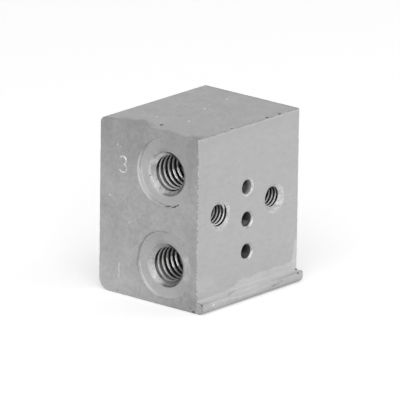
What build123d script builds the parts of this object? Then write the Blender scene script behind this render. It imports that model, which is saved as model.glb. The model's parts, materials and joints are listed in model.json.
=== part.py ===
import os
from math import radians, tan

from build123d import *

# A small pneumatic valve subbase: one length of extruded aluminium bar, sawn off and drilled.
# All sizes are millimetres. X runs along the bar, the two line ports open on the -X end, and
# the valve is screwed to the -Y face, above the lip. The origin is the middle of the underside.

# The bar's section
length = 18.6
depth = 15.3
height = 21.5
back_top_radius = 0.8
back_bottom_radius = 1.5
front_top_radius = 0.12

# The lip along the foot of the valve face
lip_reach = 1.0
lip_height = 1.4
lip_top_radius = 0.2
lip_bottom_radius = 0.7
lip_root_radius = 0.2

# The M5 ports: tap drill, countersink and spotface
port_drill_diameter = 4.2
port_countersink_diameter = 5.3
port_spot_diameter = 8.2
port_spot_depth = 0.35

# The two line ports on the end. Their bores are the galleries behind the valve face: the
# exhaust cuts across the top air hole, and the supply runs just under the bottom one's axis.
port_inset = 5.1
exhaust_overlap = 0.375
supply_drop = 0.745
gallery_run_past = 1.6

# The exhaust's spotface was cut twice: a shallow first pass, low and towards the back, and the
# last pass, a little above the port's axis
last_pass_lift = 0.17
first_pass_diameter = 8.1
first_pass_depth = 0.18
first_pass_back = 0.38
first_pass_drop = 0.17

# The outlet port on the back, in line with the middle air hole
outlet_bore_depth = 6.5

# The valve's footprint: a column of three air holes between two M3 screws
valve_line = 9.18
middle_hole_height = 9.7
air_hole_pitch = 4.0
air_hole_diameter = 1.8
air_hole_chamfer = 0.2
valve_screw_height = 11.3
valve_screw_pitch = 10.0
valve_screw_depth = 7.0

# The two M3 holes in the underside that hold the subbase down
fixing_pitch = 12.0
fixing_inset = 4.2
fixing_depth = 6.0

# The M3 holes share a tap drill and a countersink
screw_drill_diameter = 2.5
screw_countersink_diameter = 3.5

drill_point_angle = 118.0
cutter_overrun = 1.0

# Faces and axes that the sizes above fix
end_x = -length / 2
valve_line_x = end_x + valve_line
lip_y = -(depth + lip_reach) / 2
face_y = lip_y + lip_reach
back_y = face_y + depth
gallery_y = face_y + port_inset
fixing_y = back_y - fixing_inset
bottom_hole_z = middle_hole_height - air_hole_pitch
top_hole_z = middle_hole_height + air_hole_pitch
supply_z = bottom_hole_z - supply_drop
exhaust_z = top_hole_z + (air_hole_diameter + port_drill_diameter) / 2 - exhaust_overlap
gallery_depth = valve_line + gallery_run_past


def bar():
    """The extruded bar, with its rounded back corners and the lip along its foot."""
    corner_radii = (
        ((face_y, height), front_top_radius),
        ((face_y, lip_height), lip_root_radius),
        ((lip_y, lip_height), lip_top_radius),
        ((lip_y, 0), lip_bottom_radius),
        ((back_y, 0), back_bottom_radius),
        ((back_y, height), back_top_radius),
    )
    with BuildPart() as block:
        with BuildSketch(Plane.YZ) as section:
            with BuildLine():
                Polyline(*[corner for corner, radius in corner_radii], close=True)
            make_face()
            for (y, z), radius in corner_radii:
                corner = section.vertices().sort_by_distance((y, z, 0))[0]
                fillet(corner, radius)
        extrude(amount=length / 2, both=True)
    return block.part


def mouth_on(origin, outward):
    """A plane on a face, looking out of it."""
    return Plane(origin=origin, z_dir=outward)


def bored(mouth, outline):
    """The outline of radii and heights above the face, turned about the mouth's axis."""
    half_section = Plane(mouth.origin, x_dir=mouth.x_dir, z_dir=-mouth.y_dir)
    with BuildPart() as cutter:
        with BuildSketch(half_section):
            with BuildLine():
                Polyline(*outline, close=True)
            make_face()
        revolve(axis=Axis(mouth.origin, mouth.z_dir))
    return cutter.part


def hole(mouth, diameter, bore_depth, countersink_diameter, face_depth=0.0, pointed=True):
    """A drilled and countersunk hole, whose countersink starts at face_depth below the mouth."""
    radius = diameter / 2
    flare = max(countersink_diameter / 2 - radius, 0.0)
    point = radius / tan(radians(drill_point_angle / 2)) if pointed else 0.0
    return bored(mouth, [
        (0, cutter_overrun),
        (radius + flare, cutter_overrun),
        (radius + flare, -face_depth),
        (radius, -face_depth - flare),
        (radius, -bore_depth),
        (0, -bore_depth - point),
    ])


def spotface(mouth, diameter, spot_depth):
    """The flat seat cut round a port."""
    radius = diameter / 2
    return bored(mouth, [(0, cutter_overrun), (radius, cutter_overrun), (radius, -spot_depth), (0, -spot_depth)])


def port_bore(mouth, bore_depth):
    """An M5 port's bore at tap drill size, with the countersink that starts on its spotface."""
    return hole(mouth, port_drill_diameter, bore_depth, port_countersink_diameter, port_spot_depth)


def screw_hole(mouth, bore_depth):
    """A blind M3 hole at tap drill size, with its countersink."""
    return hole(mouth, screw_drill_diameter, bore_depth, screw_countersink_diameter)


def air_hole(z, bore_depth):
    """One of the small air holes in the valve face, drilled as far as the passage behind it."""
    mouth = mouth_on((valve_line_x, face_y, z), (0, -1, 0))
    mouth_diameter = air_hole_diameter + 2 * air_hole_chamfer
    return hole(mouth, air_hole_diameter, bore_depth, mouth_diameter, pointed=False)


def supply_port():
    """The lower port on the end, whose bore runs on past the bottom air hole."""
    mouth = mouth_on((end_x, gallery_y, supply_z), (-1, 0, 0))
    return [port_bore(mouth, gallery_depth), spotface(mouth, port_spot_diameter, port_spot_depth)]


def exhaust_port():
    """The upper port on the end, with both passes of its spotface."""
    mouth = mouth_on((end_x, gallery_y, exhaust_z), (-1, 0, 0))
    last_pass = mouth_on((end_x, gallery_y, exhaust_z + last_pass_lift), (-1, 0, 0))
    first_pass = mouth_on((end_x, gallery_y + first_pass_back, exhaust_z - first_pass_drop), (-1, 0, 0))
    return [
        port_bore(mouth, gallery_depth),
        spotface(last_pass, port_spot_diameter, port_spot_depth),
        spotface(first_pass, first_pass_diameter, first_pass_depth),
    ]


def outlet_port():
    """The port on the back, which meets the middle air hole head on."""
    mouth = mouth_on((valve_line_x, back_y, middle_hole_height), (0, 1, 0))
    return [port_bore(mouth, outlet_bore_depth), spotface(mouth, port_spot_diameter, port_spot_depth)]


def air_holes():
    """The bottom hole opens into the supply, the middle into the outlet, and the top into the exhaust."""
    to_outlet = depth - outlet_bore_depth
    past_gallery = port_inset + port_drill_diameter / 2
    return [
        air_hole(bottom_hole_z, port_inset),
        air_hole(middle_hole_height, to_outlet),
        air_hole(top_hole_z, past_gallery),
    ]


def valve_screw_holes():
    """The two threaded holes that the valve's screws go into."""
    places = [valve_line_x + side * valve_screw_pitch / 2 for side in (-1, 1)]
    return [screw_hole(mouth_on((x, face_y, valve_screw_height), (0, -1, 0)), valve_screw_depth) for x in places]


def fixing_holes():
    """The two threaded holes in the underside."""
    places = [side * fixing_pitch / 2 for side in (-1, 1)]
    return [screw_hole(mouth_on((x, fixing_y, 0), (0, 0, -1)), fixing_depth) for x in places]


def subbase_block():
    """The finished block."""
    block = bar()
    cutters = supply_port() + exhaust_port() + outlet_port()
    cutters += air_holes() + valve_screw_holes() + fixing_holes()
    for cutter in cutters:
        block -= cutter
    return block


os.makedirs("parts", exist_ok=True)
export_step(subbase_block(), "parts/subbase_block.step")
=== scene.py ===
import json
import math
from collections import namedtuple

import bmesh
import bpy
from mathutils import Matrix, Vector, noise


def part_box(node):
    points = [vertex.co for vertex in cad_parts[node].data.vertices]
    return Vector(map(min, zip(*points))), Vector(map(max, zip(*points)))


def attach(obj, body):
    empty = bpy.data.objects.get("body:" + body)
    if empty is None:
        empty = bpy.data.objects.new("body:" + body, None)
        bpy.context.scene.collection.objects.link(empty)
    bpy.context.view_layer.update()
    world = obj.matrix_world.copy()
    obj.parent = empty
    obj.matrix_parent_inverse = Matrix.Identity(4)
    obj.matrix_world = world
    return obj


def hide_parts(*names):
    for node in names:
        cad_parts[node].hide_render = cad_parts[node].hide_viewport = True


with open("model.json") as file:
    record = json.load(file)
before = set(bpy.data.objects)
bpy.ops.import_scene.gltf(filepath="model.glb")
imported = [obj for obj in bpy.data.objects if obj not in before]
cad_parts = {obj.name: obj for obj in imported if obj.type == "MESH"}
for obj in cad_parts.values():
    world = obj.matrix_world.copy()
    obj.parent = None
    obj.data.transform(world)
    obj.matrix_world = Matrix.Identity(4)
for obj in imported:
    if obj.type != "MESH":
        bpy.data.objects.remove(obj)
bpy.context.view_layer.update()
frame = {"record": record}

# Lengths below are millimetres, in the frame of the solid. Meshes are scaled to metres once built.
MM = 0.001
NODE = "subbase_block"

block_low, block_high = [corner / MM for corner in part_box(NODE)]
mounts = {mount["name"]: mount for mount in frame["record"]["mounts"]}


def mount_place(name):
    """A mount's point in millimetres."""
    return Vector(mounts[name]["pos_m"]) / MM


def mount_axis(name):
    """The direction that a mount's hole or face looks in."""
    return Vector(mounts[name]["axis"])


LEFT = Vector((-1, 0, 0))
FRONT = Vector((0, -1, 0))
UP = Vector((0, 0, 1))
DOWN = Vector((0, 0, -1))

# Faces of the block, read from the frame
near_x, far_x = block_low.x, block_high.x
lip_y, back_y = block_low.y, block_high.y
foot_z, top_z = block_low.z, block_high.z
face_y = mount_place("valve_face").y

# Section of the bar: lip and corner radii, and how finely it is drawn
lip_height = 1.4
front_top_radius = 0.12
lip_root_radius = 0.2
lip_top_radius = 0.15
lip_bottom_radius = 0.7
back_bottom_radius = 1.5
back_top_radius = 0.8
mesh_step = 0.3

# A thread's columns are how many points its crest, each flank and its root have, and how many of
# each flank's are as bright as the crest; the rest of each flank and the root are painted near black as shade
Thread = namedtuple("Thread", "crest_slot minor_radius major_radius pitch columns")

# Ports: M5 x 0.8, with their countersinks and spotfaces
port_thread = Thread("port_land", mounts["supply_port"]["dims"]["r_mm"], 2.5, 0.8, (8, 12, 4, 2))
port_turn_steps = 24
gallery_depth = 10.78
gallery_thread_depth = 7.0
outlet_depth = 6.5
outlet_thread_depth = 5.5
port_countersink_radius = 2.65
port_countersink_depth = 0.8
port_rims = {"supply_port": 0.12, "exhaust_port": 0.3, "outlet_port": 0.2}
spot_radius = 4.1
spot_depth = 0.35
first_pass_radius = 4.05
first_pass_depth = 0.18
first_pass_shift = Vector((0.0, 0.38, -0.17))
last_pass_shift = Vector((0.0, 0.0, 0.17))

# Screw holes: M3 x 0.5
screw_thread = Thread("screw_land", mounts["valve_screws"]["dims"]["hole_r_mm"], 1.5, 0.5, (6, 8, 3, 2))
valve_screw_depth = 7.0
valve_thread_depth = 6.0
valve_turn_steps = 20
fixing_depth = 6.0
fixing_thread_depth = 5.0
fixing_turn_steps = 11
screw_countersink_radius = 1.75
screw_countersink_depth = 0.7
screw_rim = 0.04

# How each thread starts: the angle of its groove in degrees, and how far in its first full turn lies
thread_starts = {
    "supply_port": (-5, 0.5),
    "exhaust_port": (20, 0.5),
    "outlet_port": (60, 0.9),
    "left_screw": (18, 0.15),
    "right_screw": (275, 0.6),
    "left_fixing": (40, 0.4),
    "right_fixing": (200, 0.45),
}

# Air holes
air_radius = 0.9
air_chamfer = 0.2
air_pitch = 4.0
passage_overlap = 0.02
air_middle_z = mount_place("outlet_port").z
air_x = mount_place("outlet_port").x

# All holes: the drill's point, and how far a cutter stands out of its face
drill_point_angle = 118.0
point_slope = 1 / math.tan(math.radians(drill_point_angle / 2))
overrun = 0.6

# Meshes: how close points are joined in the bar and after the cuts, and when an edge is short or sharp
bar_weld = 1e-4
cut_weld = 2e-4
shortest_edge = 1e-4
sharp_angle = math.radians(32)

# Patches on the faces: the lighter band on the valve face, and oil smeared and spilt on the top
band_height = 2.45
smear_y = 2.9
spill_y = -6.6
spill_from_edge = 0.5

# The metal's fine grain
grain_size = 0.12
grain_strength = 0.15
grain_depth = 0.02

# The studio: how bright the sky and the floor are, and how far the floor reaches and lies below
sky_strength = 0.55
floor_glow = 0.27
floor_reach = 2000.0
floor_gap = 0.02

# Material slots of the finished mesh, in order
SLOTS = ["sawn_end", "milled_face", "extruded_skin", "lip_top", "lip_face", "thread_groove", "port_land",
         "screw_land", "bore_wall", "air_wall", "port_cone", "screw_cone", "spot_wall", "spot_floor",
         "stamped_mark", "scratch", "dark_mark", "torn_shadow_mark", "top_edge", "front_edge", "end_edge"]
SLOT = {name: index for index, name in enumerate(SLOTS)}


# Noise

def wander(place, size, seed):
    """Smooth noise from -1 to 1 at a place in millimetres, with features of about the given size."""
    return noise.noise(Vector(place) / size + Vector((seed * 17.3, seed * 5.9, seed * 11.1)))


# The bar: its section is carried along X, and its sharp ends are worn unevenly

def section_ring(inset, radii):
    """Points round the section, moved inwards by inset, with the slot of the side that each starts."""
    corners = [Vector(corner) for corner in (
        (face_y, top_z), (face_y, lip_height), (lip_y, lip_height),
        (lip_y, foot_z), (back_y, foot_z), (back_y, top_z),
    )]
    arc_steps = (4, 4, 5, 7, 9, 8)
    sides = ["milled_face", "lip_top", "lip_face", "extruded_skin", "extruded_skin", "extruded_skin"]
    arcs = ["top_edge", "lip_top", "lip_top", "lip_face", "extruded_skin", "extruded_skin"]
    count = len(corners)
    points = []
    tangents = []
    for k, here in enumerate(corners):
        arrive = (here - corners[k - 1]).normalized()
        leave = (corners[(k + 1) % count] - here).normalized()
        convex = arrive.x * leave.y - arrive.y * leave.x > 0
        inward = Vector((-arrive.y, arrive.x)) + Vector((-leave.y, leave.x))
        corner = here + inset * inward
        radius = max(radii[k] - inset, 0.0) if convex else radii[k] + inset
        tangents.append((corner - radius * arrive, corner + radius * leave, arrive, leave, radius))
    for k in range(count):
        start, end, arrive, leave, radius = tangents[k]
        centre = start + radius * leave
        for n in range(arc_steps[k] + 1):
            turn = math.pi / 2 * n / arc_steps[k]
            spot = centre + radius * (arrive * math.sin(turn) - leave * math.cos(turn))
            points.append((spot, sides[k] if n == arc_steps[k] else arcs[k]))
        after = (k + 1) % count
        next_start = tangents[after][0]
        pieces = max(round((corners[after] - corners[k]).length / mesh_step), 2)
        for n in range(1, pieces):
            points.append((end.lerp(next_start, n / pieces), sides[k]))
    return points


def worn_radii(x):
    """Corner radii at a place along the bar: the front top edge and the lip are worn unevenly."""
    front = front_top_radius + 0.08 * wander((x, 0, 0), 1.1, 1) + 0.06 * wander((x, 0, 0), 0.4, 2)
    middle = math.exp(-((x + 1.0) / 4.0) ** 2)
    lip = lip_top_radius + 0.05 * wander((x, 0, 0), 3.5, 3) + 0.4 * middle
    return [max(front, 0.04), lip_root_radius, max(lip, 0.1), lip_bottom_radius, back_bottom_radius,
            back_top_radius]


def edge_wear(place, seed):
    """How far the sharp edge at a sawn end is broken, in millimetres."""
    broken = 0.06 + 0.035 * wander(place, 0.5, seed) + 0.03 * wander(place, 1.6, seed + 1)
    nick = max(wander(place, 0.9, seed + 2) - 0.35, 0.0)
    return max(broken + 0.25 * nick, 0.02)


def edge_slot(spot):
    """Which finish the broken edge has at a place of the section."""
    is_front = spot.y < face_y + 0.1 and spot.z > lip_height + 0.1
    return "front_edge" if is_front else "end_edge"


def make_bar():
    """The closed bar as a bmesh, with its faces marked by the way they were made."""
    bar = bmesh.new()
    inner_inset = 0.3
    length = far_x - near_x
    steps = round(length / mesh_step)
    stations = [near_x + length * n / steps for n in range(1, steps)]

    def ring(x, inset):
        return [(Vector((x, spot.x, spot.y)), side) for spot, side in section_ring(inset, worn_radii(x))]

    ends = []
    for end_x, inwards, seed in ((near_x, 1, 5), (far_x, -1, 15)):
        flat = ring(end_x, 0.0)
        inner = ring(end_x, inner_inset)
        cap_edge = []
        side_edge = []
        for (outer, side), (deeper, _) in zip(flat, inner):
            inset = edge_wear(outer, seed)
            along = edge_wear(outer, seed + 7)
            cap_edge.append((outer.lerp(deeper, inset / inner_inset), side))
            side_edge.append((outer + Vector((inwards * along, 0, 0)), side))
        ends.append([inner, cap_edge, side_edge])
    layers = ends[0] + [ring(x, 0.0) for x in stations] + ends[1][::-1]

    made = [[bar.verts.new(spot) for spot, _ in layer] for layer in layers]
    last = len(layers) - 1
    count = len(layers[0])
    for i in range(last):
        for j in range(count):
            k = (j + 1) % count
            face = bar.faces.new((made[i][j], made[i + 1][j], made[i + 1][k], made[i][k]))
            if i in (0, last - 1):
                slot = "sawn_end"
            elif i in (1, last - 2):
                slot = edge_slot(layers[i][j][0])
            else:
                slot = layers[i][j][1]
            face.material_index = SLOT[slot]
    for layer in (made[0], made[-1]):
        bar.faces.new(layer).material_index = SLOT["sawn_end"]
    bmesh.ops.remove_doubles(bar, verts=bar.verts, dist=bar_weld)
    bmesh.ops.recalc_face_normals(bar, faces=bar.faces)
    return bar


# Cutters: closed meshes to take away from the bar, each made about +Z looking out of its face

def placed(cutter, mouth, outward):
    """Turns a cutter made about +Z to look along outward, with its mouth at the given point."""
    turn = UP.rotation_difference(outward).to_matrix().to_4x4()
    cutter.transform(Matrix.Translation(mouth) @ turn)
    return cutter


def from_rings(rings, slots, apex=None):
    """A closed mesh through rings of points from the mouth inwards, with a slot for each band and column."""
    cutter = bmesh.new()
    made = [[cutter.verts.new(spot) for spot in ring] for ring in rings]
    count = len(rings[0])
    last = len(rings) - 1

    def add_face(corners, i, j):
        cutter.faces.new(corners).material_index = SLOT[slots(i, j)]

    for i in range(last):
        for j in range(count):
            k = (j + 1) % count
            add_face((made[i][j], made[i][k], made[i + 1][k], made[i + 1][j]), i, j)
    cutter.faces.new(made[0])
    if apex is None:
        add_face(made[last], last, 0)
    else:
        tip = cutter.verts.new(apex)
        for j in range(count):
            add_face((made[last][j], made[last][(j + 1) % count], tip), last, j)
    bmesh.ops.recalc_face_normals(cutter, faces=cutter.faces)
    return cutter


def turned(outline, slots, segments):
    """A cutter turned from an outline of (radius, height); a slot for each band and one for the floor."""
    turns = [2 * math.pi * j / segments for j in range(segments)]
    rings = []
    for radius, height in outline:
        rings.append([Vector((radius * math.cos(turn), radius * math.sin(turn), height)) for turn in turns])
    return from_rings(rings, lambda i, j: slots[i])


def thread_columns(crest_slot, land, flank, root, bright):
    """Angles round a thread's cross-section, with how deep in the groove each lies and its slot."""
    crest_span, flank_span, root_span = 90.0, 112.5, 45.0
    root_start = crest_span + flank_span
    root_end = root_start + root_span
    flank_slots = [crest_slot if n < bright else "thread_groove" for n in range(flank)]
    columns = [(crest_span * n / land, 0.0, crest_slot) for n in range(land)]
    for n in range(flank):
        columns.append((crest_span + flank_span * n / flank, n / flank, flank_slots[n]))
    columns += [(root_start + root_span * n / root, 1.0, "thread_groove") for n in range(root)]
    for n in range(flank):
        columns.append((root_end + flank_span * n / flank, 1 - n / flank, flank_slots[flank - 1 - n]))
    return columns


def threaded_bore(name, thread, thread_depth, bore_depth, turn_steps):
    """A tapped bore: a cross-section with one helical groove, twisted along the axis, then a plain
    bore and the drill's point."""
    crest_slot, minor, major, pitch, columns = thread
    start_angle, first_turn = thread_starts[name]
    section = thread_columns(crest_slot, *columns)
    heights = []
    height = overrun
    while height > -thread_depth:
        heights.append(height)
        height -= pitch / turn_steps
    heights += [-thread_depth - 0.05, -bore_depth]
    run_in_length = 0.4 * pitch
    runout_length = 1.2 * pitch
    rings = []
    for height in heights:
        run_in = 1 - (first_turn + height) / run_in_length
        runout = (thread_depth + height) / runout_length
        depth_share = min(max(runout, 0.0), max(run_in, 0.0), 1.0)
        twist = 2 * math.pi * height / pitch + math.radians(start_angle)
        ring = []
        for angle, groove, _ in section:
            turn = math.radians(angle) + twist
            radius = minor + (major - minor) * groove * depth_share
            ring.append(Vector((radius * math.cos(turn), radius * math.sin(turn), height)))
        rings.append(ring)
    threaded = len(heights) - 2

    def slots(i, j):
        return section[j][2] if i < threaded else "bore_wall"

    return from_rings(rings, slots, apex=Vector((0, 0, -bore_depth - minor * point_slope)))


def cone(radius, depth, slot, rim, face_depth=0.0):
    """A 45 degree countersink with a soft rim, which starts at face_depth and goes depth deeper."""
    outline = [
        (radius + 0.04 + rim, overrun),
        (radius + 0.04 + rim, -face_depth + 0.1 * rim),
        (radius + 0.04 + 0.35 * rim, -face_depth - 0.03 * rim),
        (radius + 0.03, -face_depth - 0.01 - 0.08 * rim),
        (radius - 0.03, -face_depth - 0.08),
        (radius - depth, -face_depth - depth),
    ]
    return turned(outline, [slot] * 6, segments=96)


def spotface(radius, depth):
    """A spotface: its steep wall and the small radius that the cutter leaves at the floor."""
    outline = [
        (radius + 0.02, overrun),
        (radius + 0.02, 0.0),
        (radius - 0.01, -0.6 * depth),
        (radius - 0.05, -0.88 * depth),
        (radius - 0.13, -depth),
    ]
    return turned(outline, ["spot_wall"] * 4 + ["spot_floor"], segments=144)


def plain_hole(radius, chamfer, depth):
    """A small drilled hole with a broken edge."""
    outline = [
        (radius + chamfer + 0.04, overrun),
        (radius + chamfer + 0.04, 0.02),
        (radius + chamfer - 0.04, -0.03),
        (radius, -chamfer),
        (radius, -depth),
    ]
    return turned(outline, ["screw_cone"] * 3 + ["air_wall"] * 2, segments=64)


def stroke(path, width, depth, slot):
    """A shallow groove along a path of (across, up) points, as a stamp or the corner of a cutter leaves."""
    rings = []
    count = len(path)
    for n, spot in enumerate(path):
        here = Vector(spot)
        ahead = Vector(path[min(n + 1, count - 1)]) - Vector(path[max(n - 1, 0)])
        side = Vector((-ahead.y, ahead.x)).normalized()
        strike = depth * (1 + 0.45 * wander((here.x, here.y, 0), 0.5, 31))
        spread = width * (1 + 0.2 * wander((here.x, here.y, 0), 0.4, 32)) / 2
        ring = []
        for across, height in ((1.8, 0.05), (0.25, -strike), (-0.25, -strike), (-1.8, 0.05)):
            spot = here + side * across * spread
            ring.append(Vector((spot.x, spot.y, height)))
        rings.append(ring)
    return from_rings(rings, lambda i, j: slot)


def pit(long, wide, deep, slot, turn=0.0):
    """A small dent."""
    made = bmesh.new()
    bmesh.ops.create_icosphere(made, subdivisions=2, radius=1.0)
    for face in made.faces:
        face.material_index = SLOT[slot]
    scale = Matrix.Diagonal((long / 2, wide / 2, deep, 1))
    made.transform(Matrix.Rotation(math.radians(turn), 4, "Z") @ scale)
    return made


def port_mouth(name):
    """Where a port's axis meets the outer face."""
    place = mount_place(name)
    if mount_axis(name).x:
        return Vector((near_x, place.y, place.z))
    return Vector((place.x, back_y, place.z))


def port_cutters(name, thread_depth, bore_depth, spots):
    """The bore, countersink and spotface passes of one M5 port."""
    axis = mount_axis(name)
    mouth = port_mouth(name)
    made = [placed(spotface(radius, depth), mouth + shift, axis) for radius, depth, shift in spots]
    countersink = cone(port_countersink_radius, port_countersink_depth, "port_cone", port_rims[name],
                       spot_depth)
    bore = threaded_bore(name, port_thread, thread_depth, bore_depth, port_turn_steps)
    return made + [placed(countersink, mouth, axis), placed(bore, mouth, axis)]


def screw_cutters(name, mouth, outward, thread_depth, bore_depth, turn_steps):
    """The bore and countersink of one M3 hole."""
    countersink = cone(screw_countersink_radius, screw_countersink_depth, "screw_cone", screw_rim)
    bore = threaded_bore(name, screw_thread, thread_depth, bore_depth, turn_steps)
    return [placed(countersink, mouth, outward), placed(bore, mouth, outward)]


def arc(centre, radii, start, end, count):
    """Points on an arc of an ellipse, from one angle to another in degrees."""
    points = []
    for n in range(count + 1):
        turn = math.radians(start + (end - start) * n / count)
        points.append((centre[0] + radii[0] * math.cos(turn), centre[1] + radii[1] * math.sin(turn)))
    return points


def end_mark(paths, middle_y, middle_z, width=0.14, depth=0.06, slot="stamped_mark"):
    """Grooves on the left end, drawn as they are read from outside."""
    outline = Matrix(((0, 0, -1, near_x), (-1, 0, 0, middle_y), (0, 1, 0, middle_z), (0, 0, 0, 1)))
    made = []
    for path in paths:
        groove = stroke(path, width, depth, slot)
        groove.transform(outline)
        made.append(groove)
    return made


def mark_cutters():
    """Plain numbers beside the two ports on the left end."""
    three = [
        arc((0.0, 0.48), (0.5, 0.5), 150, -80, 14),
        arc((0.0, -0.48), (0.58, 0.52), 80, -150, 16),
    ]
    one = [[(0.0, -1.0 + 0.1 * n) for n in range(21)]]
    return end_mark(three, 4.55, 16.2) + end_mark(one, 5.0, 2.8)


def burr_cutters():
    """The torn line that the last spotface pass left along its lower rim, painted dark as its shadow."""
    middle = port_mouth("exhaust_port") + last_pass_shift
    made = []
    tears = ((-103, -95, 0.03, 0.05), (-96, -84, 0.11, 0.1), (-86, -76, 0.05, 0.13), (-78, -66, 0.1, 0.1),
             (-68, -59, 0.08, 0.06))
    for start, end, past_rim, width in tears:
        rim = spot_radius + past_rim
        torn = arc((0.0, 0.0), (rim, rim), start, end, round((end - start) / 1.5))
        made += end_mark([torn], middle.y, middle.z, 1.6 * width, 0.2, "torn_shadow_mark")
    return made


def dent_cutters():
    """Small dents and nicks from handling; most are painted dark as the shade inside them."""
    made = []

    def dent(place, outward, long, wide, deep, slot="dark_mark", turn=0.0):
        made.append(placed(pit(long, wide, deep, slot, turn), Vector(place), outward))

    dent((-7.45, 0.2, top_z), UP, 0.6, 0.5, 0.1, turn=20)
    specks = ((-5.2, 2.9, 0.24), (1.3, 0.9, 0.26), (3.0, 1.7, 0.2), (6.2, 1.6, 0.22), (-4.0, -1.1, 0.26))
    for x, y, size in specks:
        dent((x, y, top_z), UP, size, 0.8 * size, 0.04, "stamped_mark")
    for x, size in ((3.5, 0.55), (5.8, 0.5), (-3.0, 0.3)):
        dent((x, face_y + 0.2, top_z), UP, size, 0.4, 0.05)
    for y, z, size in ((3.45, 9.2, 0.3), (6.5, 12.0, 0.24), (5.4, 18.5, 0.2), (4.9, 18.3, 0.2)):
        dent((near_x, y, z), LEFT, size, 0.6 * size, 0.05, "stamped_mark")
    dent((near_x + spot_depth, 0.6, 15.5), LEFT, 0.2, 0.16, 0.06)
    for y, z, size in ((5.2, 0.35, 0.2), (-6.7, 0.12, 0.5), (-6.2, 0.55, 0.2), (-8.0, 1.25, 0.3)):
        dent((near_x, y, z), LEFT, size, 0.7 * size, 0.06)
    for x, y, size in ((9.0, face_y - 0.05, 0.4), (9.2, lip_y + 0.05, 0.3)):
        dent((x, y, lip_height), UP, size, size, 0.1)
    dent((8.35, lip_y, 1.3), FRONT, 0.35, 0.3, 0.06)
    dent((-7.3, lip_y, 0.95), FRONT, 0.34, 0.3, 0.1, "stamped_mark")
    return made


def scratch_cutters():
    """Faint scratches on the left end, and the fine dark lines along the lip's top and front."""
    made = []
    for start, end in (((5.8, 10.6), (4.0, 12.3)), ((3.5, 9.1), (1.0, 10.9)), ((1.4, 0.5), (1.2, 1.6))):
        path = [(0.0, 0.0)]
        reach = Vector((start[0] - end[0], end[1] - start[1]))
        count = max(round(reach.length / 0.15), 3)
        for n in range(1, count + 1):
            along = reach * n / count
            sway = 0.06 * wander((start[0] + along.x, along.y, 0), 0.6, 41)
            path.append((along.x + sway, along.y + sway))
        made += end_mark([path], start[0], start[1], 0.12, 0.015, "scratch")
    top_line = [(-2.45, -7.33), (-2.7, -7.42), (-3.1, -7.5), (-3.5, -7.6), (-4.0, -7.8), (-4.4, -7.95)]
    on_top = stroke(top_line, 0.05, 0.06, "dark_mark")
    on_top.transform(Matrix.Translation((0, 0, lip_height)))
    front_line = [(3.4, 0.72), (3.7, 0.79), (4.05, 0.77), (4.4, 0.84), (4.8, 0.88), (5.2, 1.0), (5.55, 1.05)]
    on_front = stroke(front_line, 0.06, 0.03, "dark_mark")
    on_front.transform(Matrix(((1, 0, 0, 0), (0, 0, -1, lip_y), (0, 1, 0, 0), (0, 0, 0, 1))))
    return made + [on_top, on_front]


def pair(name):
    """The mouths of the two screw holes that a mount stands between."""
    place = mount_place(name)
    reach = Vector((mounts[name]["dims"]["spacing_x_mm"] / 2, 0, 0))
    return place - reach, place + reach


def all_cutters():
    """Every hole and mark of the block."""
    last_pass = (spot_radius, spot_depth)
    first_pass = (first_pass_radius, first_pass_depth, first_pass_shift)
    centred = [(*last_pass, Vector((0, 0, 0)))]
    cutters = port_cutters("supply_port", gallery_thread_depth, gallery_depth, centred)
    cutters += port_cutters("exhaust_port", gallery_thread_depth, gallery_depth,
                            [first_pass, (*last_pass, last_pass_shift)])
    cutters += port_cutters("outlet_port", outlet_thread_depth, outlet_depth, centred)

    to_gallery = mount_place("supply_port").y - face_y
    to_outlet = back_y - face_y - outlet_depth + passage_overlap
    for n, depth in enumerate((to_gallery, to_outlet, to_gallery + port_thread.minor_radius)):
        mouth = Vector((air_x, face_y, air_middle_z + (n - 1) * air_pitch))
        cutters.append(placed(plain_hole(air_radius, air_chamfer, depth), mouth, FRONT))

    for name, mouth in zip(("left_screw", "right_screw"), pair("valve_screws")):
        cutters += screw_cutters(name, mouth, FRONT, valve_thread_depth, valve_screw_depth, valve_turn_steps)
    for name, mouth in zip(("left_fixing", "right_fixing"), pair("fixing_screws")):
        cutters += screw_cutters(name, mouth, DOWN, fixing_thread_depth, fixing_depth, fixing_turn_steps)
    return cutters + mark_cutters() + burr_cutters() + dent_cutters() + scratch_cutters()


# Joining: the cutters are taken away from the bar one after the other

def mesh_object(name, made):
    """Turns a bmesh in millimetres into an object with the block's material slots."""
    mesh = bpy.data.meshes.new(name)
    made.to_mesh(mesh)
    made.free()
    for slot_name in SLOTS:
        mesh.materials.append(bpy.data.materials[slot_name])
    piece = bpy.data.objects.new(name, mesh)
    bpy.context.scene.collection.objects.link(piece)
    return piece


def cut(piece, cutters):
    """Takes each cutter away from the piece, keeping the cutters' materials on the new walls."""
    tools = [mesh_object(f"cutter_{n}", cutter) for n, cutter in enumerate(cutters)]
    for tool in tools:
        step = piece.modifiers.new("cut", "BOOLEAN")
        step.operation = "DIFFERENCE"
        step.solver = "EXACT"
        step.material_mode = "TRANSFER"
        step.object = tool
    graph = bpy.context.evaluated_depsgraph_get()
    old = piece.data
    result = bpy.data.meshes.new_from_object(piece.evaluated_get(graph))
    piece.modifiers.clear()
    piece.data = result
    bpy.data.meshes.remove(old)
    for tool in tools:
        bpy.data.meshes.remove(tool.data)


def finish_mesh(piece):
    """Cleans the cut mesh, scales it to metres and marks the sharp edges."""
    made = bmesh.new()
    made.from_mesh(piece.data)
    bmesh.ops.remove_doubles(made, verts=made.verts, dist=cut_weld)
    bmesh.ops.dissolve_degenerate(made, edges=made.edges, dist=shortest_edge)
    bmesh.ops.triangulate(made, faces=[face for face in made.faces if len(face.verts) > 4])
    for face in made.faces:
        face.smooth = True
    for edge in made.edges:
        edge.smooth = len(edge.link_faces) == 2 and edge.calc_face_angle(0.0) < sharp_angle
    made.transform(Matrix.Scale(MM, 4))
    made.to_mesh(piece.data)
    made.free()


# Materials

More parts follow.
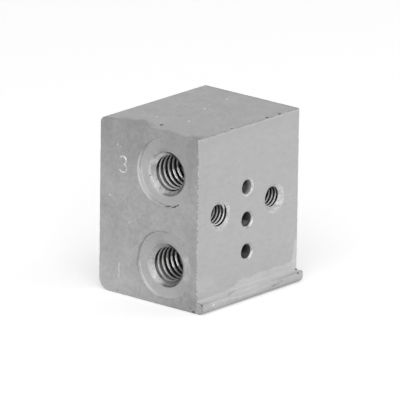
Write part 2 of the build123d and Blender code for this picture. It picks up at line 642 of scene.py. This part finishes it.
class Nodes:
    """A short way to write a material's node tree."""

    def __init__(self, tree):
        self.tree = tree

    def add(self, kind, inputs=None, **settings):
        node = self.tree.nodes.new(kind)
        for name, value in settings.items():
            setattr(node, name, value)
        self.feed(node, inputs or {})
        return node

    def feed(self, node, inputs):
        """Links each input of a node to its socket, or sets it to its number or colour."""
        for name, value in inputs.items():
            if isinstance(value, bpy.types.NodeSocket):
                self.tree.links.new(value, node.inputs[name])
            else:
                node.inputs[name].default_value = value

    def math(self, operation, a, b=0.0):
        return self.add("ShaderNodeMath", {0: a, 1: b}, operation=operation).outputs[0]

    def plus(self, first, *others):
        for other in others:
            first = self.math("ADD", first, other)
        return first

    def minus(self, a, b):
        return self.math("SUBTRACT", a, b)

    def product(self, first, *others):
        for other in others:
            first = self.math("MULTIPLY", first, other)
        return first

    def place_mm(self):
        """The place on the object, in millimetres."""
        where = self.add("ShaderNodeTexCoord").outputs["Object"]
        return self.add("ShaderNodeVectorMath", {0: where, 3: 1 / MM}, operation="SCALE").outputs[0]

    def split(self, place):
        """The three coordinates of a place."""
        return self.add("ShaderNodeSeparateXYZ", {0: place}).outputs[:]

    def noise(self, place, size, detail=2.0, stretch=(1, 1, 1)):
        """Noise with features of about size millimetres. Most of it lies between 0.3 and 0.7."""
        scale = Vector(stretch) / size
        mapped = self.add("ShaderNodeVectorMath", {0: place, 1: scale}, operation="MULTIPLY").outputs[0]
        return self.add("ShaderNodeTexNoise", {"Vector": mapped, "Scale": 1.0, "Detail": detail}).outputs[0]

    def ranged(self, value, low, high, start=0.3, end=0.7):
        """A value moved from start to end into low to high, for noise unless start and end are given."""
        limits = {"From Min": start, "From Max": end, "To Min": low, "To Max": high}
        return self.add("ShaderNodeMapRange", {"Value": value, **limits}).outputs[0]

    def mix(self, mask, low, high):
        """From low where the mask is 0 to high where it is 1."""
        return self.ranged(mask, low, high, 0.0, 1.0)

    def step(self, value, start, end):
        """A smooth step from 0 at start to 1 at end, whichever of the two is higher."""
        return self.add("ShaderNodeMapRange", {"Value": value, "From Min": start, "From Max": end},
                        interpolation_type="SMOOTHSTEP").outputs[0]

    def tint(self, tone, *masks):
        """The tone, multiplied by each mask's factor where that mask is 1."""
        for mask, factor in masks:
            tone = self.product(tone, self.mix(mask, 1.0, factor))
        return tone


class FromPort:
    """Where a place on the left end lies from a port's axis: how far away, across to the left and up.

    in_bore and in_spotface are 1 there, and end a little outside the countersink and the spotface.
    """

    def __init__(self, nodes, place, name):
        _, y, z = nodes.split(place)
        middle = port_mouth(name)
        self.nodes = nodes
        self.across = nodes.minus(y, middle.y)
        self.above = nodes.minus(z, middle.z)
        squares = nodes.plus(nodes.product(self.across, self.across), nodes.product(self.above, self.above))
        self.away = nodes.math("SQRT", squares)
        self.in_bore = self.ring(3.2, 3.0)
        self.in_spotface = self.ring(5.0, 4.8)

    def ring(self, start, end):
        """A smooth step from 0 at one distance from the axis to 1 at another."""
        return self.nodes.step(self.away, start, end)

    def facing(self, angle, start, end):
        """A smooth step between two cosines of the angle to a direction. 0 is to the right, 90 up."""
        turn = math.radians(angle)
        along = self.nodes.plus(self.nodes.product(self.across, -math.cos(turn)),
                                self.nodes.product(self.above, math.sin(turn)))
        return self.nodes.step(self.nodes.math("DIVIDE", along, self.away), start, end)

    def rim_light(self, inner, outer):
        """1 along the lower left of a countersink's rim, between two distances from the axis."""
        return self.nodes.product(self.ring(inner - 0.05, inner + 0.05), self.ring(outer, outer - 0.15),
                                  self.facing(213, 0.8, 0.95))


def left_ports(nodes, place):
    """Where a place lies from the supply port and from the exhaust port."""
    return FromPort(nodes, place, "supply_port"), FromPort(nodes, place, "exhaust_port")


def mottle(nodes, place, spread, stretch):
    """Uneven tone of bare metal: broad patches and a finer mottling."""
    broad = nodes.ranged(nodes.noise(place, 2.4, 3.0), 1 - 0.7 * spread, 1 + 0.7 * spread)
    fine = nodes.ranged(nodes.noise(place, 0.45, 3.0, stretch), 1 - spread, 1 + spread)
    return nodes.product(broad, fine)


def no_marks(nodes, place, tone):
    """A finish without marks of its own."""
    return tone


def end_marks(nodes, place, tone):
    """The sawn ends: lighter low at the back and on the lip's end, darker low at the front, at the top and to
    the front, and painted shade in ragged patches outside the upper left of the left one's spotface rims.
    """
    x, y, z = nodes.split(place)
    ragged = nodes.noise(place, 0.9, 3.0)
    loose_z = nodes.plus(z, nodes.ranged(ragged, -1.0, 1.0))
    back_foot = nodes.product(nodes.step(loose_z, 8.0, 2.5), nodes.step(y, 0.5, 4.0))
    front_foot = nodes.product(nodes.step(loose_z, 2.6, 1.0), nodes.step(y, -0.5, -3.5))
    shoulder = nodes.step(z, 14.0, 19.5)
    front = nodes.step(y, -3.0, -6.0)
    lip_end = nodes.product(nodes.step(y, face_y + 0.15, face_y - 0.1), nodes.step(z, 1.6, 1.3))
    tone = nodes.tint(tone, (back_foot, 1.12), (front_foot, 0.86), (shoulder, 0.85), (front, 0.95),
                      (lip_end, 1.3))
    is_left_end = nodes.step(x, 0.5, -0.5)
    patches = nodes.step(ragged, 0.36, 0.55)
    # Painted shade: ragged dark patches just outside the upper left of each port's spotface rim
    for port, rim_shade in zip(left_ports(nodes, place), (0.66, 0.78)):
        near = port.ring(spot_radius + 0.3, spot_radius + 0.02)
        upper = nodes.step(nodes.plus(nodes.product(port.across, 0.7), port.above), -0.5, 2.5)
        not_right = nodes.step(port.across, -1.6, 0.0)
        tone = nodes.tint(tone, (nodes.product(near, upper, not_right, is_left_end, patches), rim_shade))
    return tone


def face_marks(nodes, place, tone):
    """A lighter band along the foot of the valve face and up its far edge, darker towards the top, and short
    scratches.
    """
    x, _, z = nodes.split(place)
    ragged = nodes.ranged(nodes.noise(place, 0.9, 4.0, (0.6, 1, 1)), -0.25, 0.25)
    near_end = nodes.product(nodes.step(x, -5.3, -6.7), 1.6)
    far_end = nodes.product(nodes.step(x, 8.2, 8.9), 2.7)
    hollow = nodes.product(nodes.step(x, -5.8, -3.9), nodes.step(x, -0.8, -3.3), -0.6)
    edge = nodes.plus(ragged, near_end, far_end, hollow)
    softness = nodes.mix(nodes.step(x, -4.0, -2.0), 0.55, 0.15)
    over = nodes.math("DIVIDE", nodes.minus(nodes.minus(z, edge), band_height), softness)
    band_tone = nodes.mix(nodes.step(x, -6.0, -3.0), 1.07, 1.2)
    scratch = nodes.noise(place, 0.25, 1.0, (0.16, 1, 1))
    return nodes.tint(
        tone,
        (nodes.step(over, 1.0, -1.0), band_tone),
        (nodes.step(z, 8.0, 17.0), 0.965),
        (nodes.step(z, 19.5, 21.4), 0.95),
        (nodes.step(scratch, 0.69, 0.74), 0.92),
        (nodes.step(scratch, 0.29, 0.25), 1.06),
    )


def top_marks(nodes, place, tone):
    """The extruded skin: oil along the left edge of the top, a dull right edge and a dark back."""
    x, y, z = nodes.split(place)
    ragged = nodes.ranged(nodes.noise(place, 1.0, 4.0), -0.9, 0.9)
    from_edge = nodes.minus(x, near_x)
    is_top = nodes.step(z, top_z - 0.3, top_z - 0.05)
    along = nodes.math("ABSOLUTE", nodes.minus(y, smear_y))
    reach = nodes.plus(nodes.ranged(along, 2.0, 0.2, 0.4, 3.2), nodes.product(ragged, 0.6))
    smear = nodes.step(nodes.minus(from_edge, reach), 0.6, -0.5)
    side = nodes.minus(y, spill_y)
    ahead = nodes.minus(from_edge, spill_from_edge)
    spill = nodes.plus(nodes.product(side, side), nodes.product(ahead, ahead))
    patch = nodes.step(nodes.plus(spill, ragged), 2.6, 0.4)
    right_edge = nodes.step(x, far_x - 0.5, far_x - 0.05)
    return nodes.tint(
        tone,
        (nodes.product(smear, is_top), 0.77),
        (nodes.product(patch, is_top), 0.82),
        (nodes.product(right_edge, is_top), 0.7),
        (nodes.step(y, back_y - 0.45, back_y - 0.1), 0.55),
    )


def lit_lip_edge(nodes, place):
    """1 where a highlight is painted on the lip's rounded edge: its top, and its front from the top down,
    most in the middle.
    """
    x, y, z = nodes.split(place)
    from_edge = nodes.plus(nodes.minus(z, lip_height), nodes.minus(y, lip_y))
    along = nodes.product(nodes.plus(x, 1.2), 1 / 3.0)
    middle = nodes.math("EXPONENT", nodes.product(along, along, -1.0))
    limit = nodes.mix(middle, -0.25, -0.7)
    for start, end, rise in ((4.0, 5.5, 0.35), (5.5, 9.5, 0.65), (-7.6, -9.0, 1.1)):
        limit = nodes.plus(limit, nodes.product(nodes.step(x, start, end), rise))
    ragged = nodes.ranged(nodes.noise(place, 0.7, 3.0), -0.1, 0.1)
    return nodes.step(nodes.minus(nodes.plus(from_edge, ragged), limit), -0.08, 0.08)


def lip_top_marks(nodes, place, tone):
    """The lip's top and its rounded edge: painted light over the top, painted shade in the crease at the root
    and along the outer edge, and a painted highlight on the rounded edge.
    """
    _, y, _ = nodes.split(place)
    return nodes.tint(
        tone,
        # Painted light over the top, painted shade at the root and the outer edge, then the painted highlight
        (nodes.step(y, face_y, face_y - 0.22), 1.2),
        (nodes.step(y, face_y - 0.15, face_y), 0.95),
        (nodes.step(y, lip_y + 0.35, lip_y + 0.05), 0.7),
        (lit_lip_edge(nodes, place), 1.15),
    )


def lip_face_marks(nodes, place, tone):
    """The front of the lip: a painted highlight from its top down where the edge is rounded, darker to the
    right, and painted shade at its foot, where it meets the floor.
    """
    x, _, z = nodes.split(place)
    return nodes.tint(
        tone,
        (nodes.step(x, -5.5, -3.0), 0.95),
        # A painted highlight down from the rounded top edge, and painted shade at the foot
        (lit_lip_edge(nodes, place), 1.22),
        (nodes.step(z, 0.4, 0.05), 0.7),
    )


def cone_marks(nodes, place, tone):
    """The ports' countersinks: flecked, with painted light and shade for what they reflect: lighter to the
    lower left, above and at the exhaust's bottom, darker to the right, darkest in a line along the lower
    right of the rim.
    """
    supply, exhaust = left_ports(nodes, place)
    # Painted light and shade: the exhaust's cone lighter to the lower left towards its rim, darker further in
    lower_left_light = nodes.mix(exhaust.ring(2.58, 2.68), 0.8, 1.23)
    tone = nodes.tint(
        speckle_marks(nodes, place, tone),
        (supply.rim_light(2.66, 3.2), 1.3),
        (nodes.product(exhaust.in_bore, exhaust.facing(208, 0.6, 0.9)), lower_left_light),
        (nodes.product(exhaust.in_bore, exhaust.ring(2.42, 2.52), exhaust.facing(125, 0.85, 0.96)), 0.75),
        (nodes.product(exhaust.in_bore, exhaust.ring(2.5, 2.4), exhaust.facing(112, 0.88, 0.98)), 1.2),
    )
    # Painted shade to the right and along the lower right of the rim, painted light at the exhaust's bottom
    # and above
    for port, foot, crown, shade in ((supply, 0.9, 1.0, 0.13), (exhaust, 1.45, 1.25, 0.25)):
        tone = nodes.tint(
            tone,
            (nodes.product(port.in_bore, port.facing(318, 0.25, 0.75)), 0.6),
            (nodes.product(port.in_bore, port.facing(281, 0.83, 0.96)), foot),
            (nodes.product(port.in_bore, port.ring(2.5, 2.6), port.facing(305, 0.6, 0.8)), 0.6),
            (nodes.product(port.in_bore, port.facing(135, 0.8, 0.95)), crown),
            (nodes.product(port.in_bore, port.facing(52, 0.7, 0.95), port.ring(2.72, 2.62)), shade),
        )
    return tone


def floor_marks(nodes, place, tone):
    """The spotface floors: painted light to the lower left and painted shade above, painted highlights on the
    exhaust's ledge and round the lower left of the bores, darker over the bores, and lighter beside them and
    high by the supply's wall.
    """
    supply, exhaust = left_ports(nodes, place)
    for port in (supply, exhaust):
        # Painted light to the lower left and painted shade to the upper right
        lower_left = nodes.step(nodes.minus(port.across, port.above), 0.0, 4.0)
        upper_right = nodes.step(nodes.minus(port.above, port.across), 0.5, 3.5)
        over = nodes.step(nodes.math("DIVIDE", port.above, port.away), 0.6, 0.9)
        tone = nodes.tint(
            tone,
            (nodes.product(port.in_spotface, lower_left), 1.1),
            (nodes.product(port.in_spotface, upper_right), 0.9),
            (nodes.product(port.ring(3.2, 2.7), over), 0.85),
        )
    # Painted highlights to the lower left: on the exhaust's ledge and round its bore, and round the supply's
    # rim
    ledge = nodes.product(exhaust.ring(3.85, 4.0), exhaust.ring(4.7, 4.5), exhaust.facing(207, 0.85, 0.95))
    lower_left_light = nodes.product(exhaust.ring(3.2, 2.7), exhaust.facing(213, 0.6, 0.92))
    further_up = nodes.product(supply.ring(4.3, 4.2), supply.facing(60, 0.6, 0.95))
    uneven = nodes.ranged(nodes.noise(place, 0.7, 3.0), 0.3, 1.0)
    beside = nodes.product(supply.ring(2.8, 3.1), supply.ring(3.95, 3.65), supply.facing(2, 0.84, 0.95))
    return nodes.tint(tone, (ledge, 1.25), (lower_left_light, 1.3), (supply.rim_light(2.5, 2.95), 1.45),
                      (further_up, 1.17), (nodes.product(beside, uneven), 1.5))


def wall_marks(nodes, place, tone):
    """The spotface walls: a painted highlight to the lower left, painted shade elsewhere, and darker at the
    highlight's foot, on the exhaust's right ledge and outside its lower left.
    """
    supply, exhaust = left_ports(nodes, place)
    for port, middle, lit, dim, foot in ((supply, 220, 0.95, 1.0, 4.05), (exhaust, 200, 0.85, 0.92, 3.95)):
        # Painted highlight to the lower left, painted shade elsewhere
        bright = port.facing(middle, 0.72, 0.86)
        tone = nodes.tint(
            tone,
            (port.in_spotface, nodes.mix(bright, 0.72, lit)),
            (nodes.product(port.in_spotface, port.facing(268, 0.8, 0.95)), dim),
            (nodes.product(bright, port.ring(foot + 0.03, foot - 0.03)), 0.8),
        )
    ledge = nodes.product(exhaust.ring(4.2, 4.1), nodes.step(exhaust.across, 2.0, 3.0),
                          nodes.step(exhaust.above, -0.9, 0.1))
    outer = nodes.product(exhaust.ring(4.3, 4.42), exhaust.facing(226, 0.9, 0.97))
    return nodes.tint(tone, (ledge, 0.8), (outer, 0.8))


def port_land_marks(nodes, place, tone):
    """The crests in the ports: painted light to the lower left with a painted glint further in, and painted
    shade above and deepest in.
    """
    x, _, _ = nodes.split(place)
    further = nodes.step(x, near_x + 1.5, near_x + 4.5)
    deepest = nodes.step(x, near_x + 3.2, near_x + 4.6)
    # Painted shade: the crests deepest in are darkened to black
    out_of_sight = nodes.step(x, near_x + 4.75, near_x + 5.05)
    supply, exhaust = left_ports(nodes, place)
    for port, faded, brightest in ((supply, 0.55, 203), (exhaust, 1.0, 216)):
        lower_left = nodes.math("DIVIDE", nodes.minus(port.across, port.above), port.away)
        glint = port.facing(brightest, 0.93, 0.985)
        tone = nodes.tint(
            tone,
            (port.in_bore, nodes.ranged(lower_left, 0.45, 0.8, 0.4, 1.4)),
            (nodes.product(port.in_bore, port.facing(185, 0.85, 0.5)), faded),
            (nodes.product(port.in_bore, further, glint), 3.2),
            (nodes.product(port.in_bore, deepest, glint), 1.5),
            (nodes.product(port.in_bore, out_of_sight), 0.1),
        )
    return tone


def groove_marks(nodes, place, tone):
    """The thread grooves, painted near black as shade: lighter to the lower left near the ports' mouths as
    painted light.
    """
    x, _, _ = nodes.split(place)
    shallow = nodes.step(x, near_x + 2.9, near_x + 1.0)
    past_mouth = nodes.step(x, near_x + 0.9, near_x + 1.3)
    first_turn = nodes.step(x, near_x + 1.5, near_x + 1.0)
    supply, exhaust = left_ports(nodes, place)
    for port in (supply, exhaust):
        grey = nodes.product(port.in_bore, shallow, past_mouth, port.facing(228, 0.6, 0.95), 0.22)
        tone = nodes.plus(tone, grey)
    grey = nodes.product(supply.in_bore, first_turn, supply.facing(268, 0.8, 0.95), 0.12)
    return nodes.plus(tone, grey)


def screw_land_marks(nodes, place, tone):
    """The crests in the valve face's screw holes: painted shade in the upper half and a little more further
    in.
    """
    _, y, z = nodes.split(place)
    above = nodes.minus(z, mount_place("valve_screws").z)
    further = nodes.product(nodes.step(y, face_y + 1.1, face_y + 1.9), nodes.step(above, -3.0, -2.0))
    return nodes.tint(tone, (nodes.step(above, -0.6, 0.7), 0.2), (further, 0.9))


def above_air_hole(nodes, z):
    """How far a height on the valve face lies above the nearest air hole's axis."""
    row = nodes.product(nodes.minus(z, air_middle_z), 1 / air_pitch)
    return nodes.product(nodes.minus(row, nodes.math("ROUND", row)), air_pitch)


def is_lower_hole(nodes, z):
    """1 at the height of the middle and the bottom air hole, and 0 at the top one's."""
    return nodes.step(z, air_middle_z + 0.6 * air_pitch, air_middle_z + 0.4 * air_pitch)


def air_marks(nodes, place, tone):
    """The air holes: painted shade inside, a painted sheen along the bottom, and the top one lighter near its
    mouth as painted light.
    """
    _, y, z = nodes.split(place)
    depth = nodes.minus(y, face_y)
    above = above_air_hole(nodes, z)
    lower = is_lower_hole(nodes, z)
    is_middle = nodes.step(z, air_middle_z - 0.6 * air_pitch, air_middle_z - 0.4 * air_pitch)
    sheen = nodes.product(lower, nodes.step(depth, 0.35, 0.95), nodes.step(above, -0.38, -0.6))
    top_sheen = nodes.product(nodes.minus(1.0, lower), nodes.step(depth, 0.95, 1.2),
                              nodes.step(above, -0.1, -0.3))
    return nodes.tint(
        tone,
        (nodes.step(depth, 0.1, 1.3), 0.12),
        (lower, nodes.mix(nodes.step(depth, 1.2, 0.4), 0.45, 0.28)),
        (nodes.product(nodes.step(depth, 0.8, 1.6), nodes.step(above, 0.3, -0.4)), 3.0),
        (sheen, nodes.mix(is_middle, 2.3, 4.4)),
        (top_sheen, 1.8),
        (nodes.product(nodes.step(depth, 0.6, 1.4), nodes.step(above, 0.2, 0.7)), 0.5),
    )


def edge_marks(nodes, place, tone):
    """A broken edge: bright where it was struck, dark between."""
    speck = nodes.noise(place, 0.22, 1.0)
    return nodes.tint(tone, (nodes.step(speck, 0.5, 0.4), 0.45), (nodes.step(speck, 0.56, 0.64), 1.25))


def speckle_marks(nodes, place, tone):
    """Chatter and chips: small light and dark flecks."""
    speck = nodes.noise(place, 0.3, 2.0)
    return nodes.tint(tone, (nodes.step(speck, 0.42, 0.34), 0.75), (nodes.step(speck, 0.58, 0.66), 1.2))


def chamfer_marks(nodes, place, tone):
    """Flecks, with painted highlights: the air holes' edges lighter, the lower ones' brightest to the lower
    right, the screw holes' above.
    """
    x, _, z = nodes.split(place)
    across = nodes.minus(x, air_x)
    is_air = nodes.step(nodes.math("ABSOLUTE", across), 1.4, 1.3)
    lower = nodes.product(is_air, is_lower_hole(nodes, z))
    low_right = nodes.step(nodes.minus(across, nodes.product(above_air_hole(nodes, z), 0.8)), 1.05, 1.3)
    high = nodes.step(nodes.minus(z, mount_place("valve_screws").z), -0.2, 0.8)
    return nodes.tint(
        speckle_marks(nodes, place, tone),
        (is_air, 1.2),
        (lower, nodes.mix(low_right, 0.75, 1.1)),
        (nodes.product(nodes.minus(1.0, is_air), high), 1.25),
    )


def metal(name, tone, roughness, spread=0.04, stretch=(1, 1, 1), metallic=1.0, edge_tint=1.0, marks=no_marks):
    """Bare aluminium: mottled tone, uneven sheen and a fine grain, stretched along the tool's marks."""
    material = bpy.data.materials.new(name)
    material.use_nodes = True
    nodes = Nodes(material.node_tree)
    place = nodes.place_mm()
    value = marks(nodes, place, nodes.product(mottle(nodes, place, spread, stretch), tone))
    relief = nodes.noise(place, grain_size, 3.0, stretch)
    grain = {"Strength": grain_strength, "Distance": grain_depth * MM, "Height": relief}
    nodes.feed(material.node_tree.nodes["Principled BSDF"], {
        "Base Color": nodes.add("ShaderNodeCombineColor", {0: value, 1: value, 2: value}).outputs[0],
        "Roughness": nodes.ranged(nodes.noise(place, 0.9, 2.0), roughness - 0.05, roughness + 0.05),
        "Metallic": metallic,
        "Specular Tint": (edge_tint, edge_tint, edge_tint, 1),
        "Normal": nodes.add("ShaderNodeBump", grain).outputs[0],
    })


def make_materials():
    """One material for each slot."""
    metal("sawn_end", 0.383, 0.5, spread=0.09, marks=end_marks)
    metal("milled_face", 0.408, 0.5, spread=0.022, stretch=(0.3, 1, 1), marks=face_marks)
    metal("extruded_skin", 0.452, 0.5, spread=0.06, edge_tint=0.6, marks=top_marks)
    metal("lip_top", 0.436, 0.5, spread=0.04, metallic=0.15, edge_tint=0.4, marks=lip_top_marks)
    metal("lip_face", 0.436, 0.5, spread=0.05, marks=lip_face_marks)
    # The grooves' near black is painted shade
    metal("thread_groove", 0.02, 0.6, metallic=0.2, edge_tint=0.2, marks=groove_marks)
    metal("port_land", 0.96, 0.45, metallic=0.15, marks=port_land_marks)
    metal("screw_land", 0.98, 0.45, metallic=0.15, marks=screw_land_marks)
    metal("bore_wall", 0.2, 0.6, metallic=0.2)
    metal("air_wall", 0.5, 0.6, metallic=0.2, edge_tint=0.3, marks=air_marks)
    metal("port_cone", 0.392, 0.56, spread=0.1, marks=cone_marks)
    metal("screw_cone", 0.505, 0.55, spread=0.1, metallic=0.35, edge_tint=0.5, marks=chamfer_marks)
    # The spotface walls' light tone is partly a painted highlight, dimmed away from the lower left
    metal("spot_wall", 0.645, 0.5, spread=0.06, metallic=0.7, marks=wall_marks)
    metal("spot_floor", 0.372, 0.45, spread=0.05, marks=floor_marks)
    metal("stamped_mark", 0.62, 0.5, spread=0.3)
    metal("scratch", 0.45, 0.45, spread=0.08)
    # Dark in the dents and the fine lines on the lip: the dents' darkness is painted shade
    metal("dark_mark", 0.12, 0.6, metallic=0.3, edge_tint=0.3)
    # The torn line's groove: painted shadow
    metal("torn_shadow_mark", 0.11, 0.7, metallic=0.2, edge_tint=0.2)
    metal("top_edge", 0.33, 0.55, metallic=0.6, edge_tint=0.4, marks=speckle_marks)
    metal("front_edge", 0.42, 0.5, metallic=0.5, marks=edge_marks)
    metal("end_edge", 0.3, 0.55, metallic=0.5, edge_tint=0.4, marks=speckle_marks)


# The block

make_materials()
block = mesh_object("subbase", make_bar())
cut(block, all_cutters())
finish_mesh(block)
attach(block, "root")
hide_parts(NODE)


# The studio

def white_background(nodes):
    """1 for rays that see the backdrop straight, in a reflection or through glass, and 0 for the rest."""
    path = nodes.add("ShaderNodeLightPath")
    seen = nodes.math("MAXIMUM", path.outputs["Is Camera Ray"], path.outputs["Is Glossy Ray"])
    return nodes.math("MAXIMUM", seen, path.outputs["Is Transmission Ray"])


def make_world():
    """A soft even sky, with a white backdrop for what the camera and the metal see."""
    world = bpy.data.worlds.new("studio")
    bpy.context.scene.world = world
    world.use_nodes = True
    nodes = Nodes(world.node_tree)
    nodes.feed(world.node_tree.nodes["Background"], {
        "Color": (1, 1, 1, 1),
        "Strength": nodes.mix(white_background(nodes), sky_strength, 1.0),
    })


def make_floor():
    """A pale floor just under the block."""
    made = bmesh.new()
    corners = [(across * floor_reach, along * floor_reach, foot_z - floor_gap)
               for across, along in ((-1, -1), (1, -1), (1, 1), (-1, 1))]
    made.faces.new([made.verts.new(corner) for corner in corners])
    made.transform(Matrix.Scale(MM, 4))
    mesh = bpy.data.meshes.new("floor")
    made.to_mesh(mesh)
    made.free()
    floor = bpy.data.objects.new("floor", mesh)
    bpy.context.scene.collection.objects.link(floor)
    material = bpy.data.materials.new("floor")
    material.use_nodes = True
    nodes = Nodes(material.node_tree)
    nodes.feed(material.node_tree.nodes["Principled BSDF"], {
        "Base Color": (0.9, 0.9, 0.9, 1),
        "Roughness": 0.9,
        "Emission Color": (1, 1, 1, 1),
        "Emission Strength": nodes.product(white_background(nodes), floor_glow),
    })
    mesh.materials.append(material)


def area_light(name, direction, distance, size, power):
    """A square soft light that looks at the middle of the block."""
    data = bpy.data.lights.new(name, "AREA")
    data.size = size * MM
    data.energy = power
    light = bpy.data.objects.new(name, data)
    bpy.context.scene.collection.objects.link(light)
    middle = (block_low + block_high) / 2
    light.location = (middle + Vector(direction).normalized() * distance) * MM
    light.rotation_mode = "QUATERNION"
    light.rotation_quaternion = (-Vector(direction)).to_track_quat("-Z", "Y")


# Lamps: name, direction from the block, distance, size and power
lamps = (
    ("key", (-0.64, -0.38, 0.67), 500, 500, 1.15),
    ("front", (-0.62, -0.75, 0.2), 600, 480, 0.7),
    ("side", (0.8, -0.58, 0.12), 500, 260, 0.7),
)

# Camera, fitted to the edges of the block in the photograph
camera_azimuth = -49.9045
camera_elevation = 16.796
camera_roll = 0.8273
camera_distance = 907.74
camera_lens = 683.8
camera_sensor = 36.0
camera_clip = (100.0, 5000.0)
aim = Vector((-0.05, 0.45, 10.75))
aim_slide = (-0.1021, 0.2083)


def make_camera():
    """The camera at the photograph's viewing angle."""
    a, e, r = map(math.radians, (camera_azimuth, camera_elevation, camera_roll))
    back = Vector((math.sin(a) * math.cos(e), -math.cos(a) * math.cos(e), math.sin(e)))
    level = Vector((math.cos(a), math.sin(a), 0))
    rise = back.cross(level)
    right = math.cos(r) * level + math.sin(r) * rise
    up = math.cos(r) * rise - math.sin(r) * level
    place = aim + back * camera_distance - right * aim_slide[0] - up * aim_slide[1]
    data = bpy.data.cameras.new("camera")
    data.lens = camera_lens
    data.sensor_width = camera_sensor
    data.clip_start, data.clip_end = [distance * MM for distance in camera_clip]
    camera = bpy.data.objects.new("camera", data)
    bpy.context.scene.collection.objects.link(camera)
    turn = Matrix((right, up, back)).transposed().to_4x4()
    camera.matrix_world = Matrix.Translation(place * MM) @ turn
    bpy.context.scene.camera = camera


make_world()
make_floor()
for lamp in lamps:
    area_light(*lamp)
make_camera()
bpy.context.scene.view_settings.view_transform = "Standard"
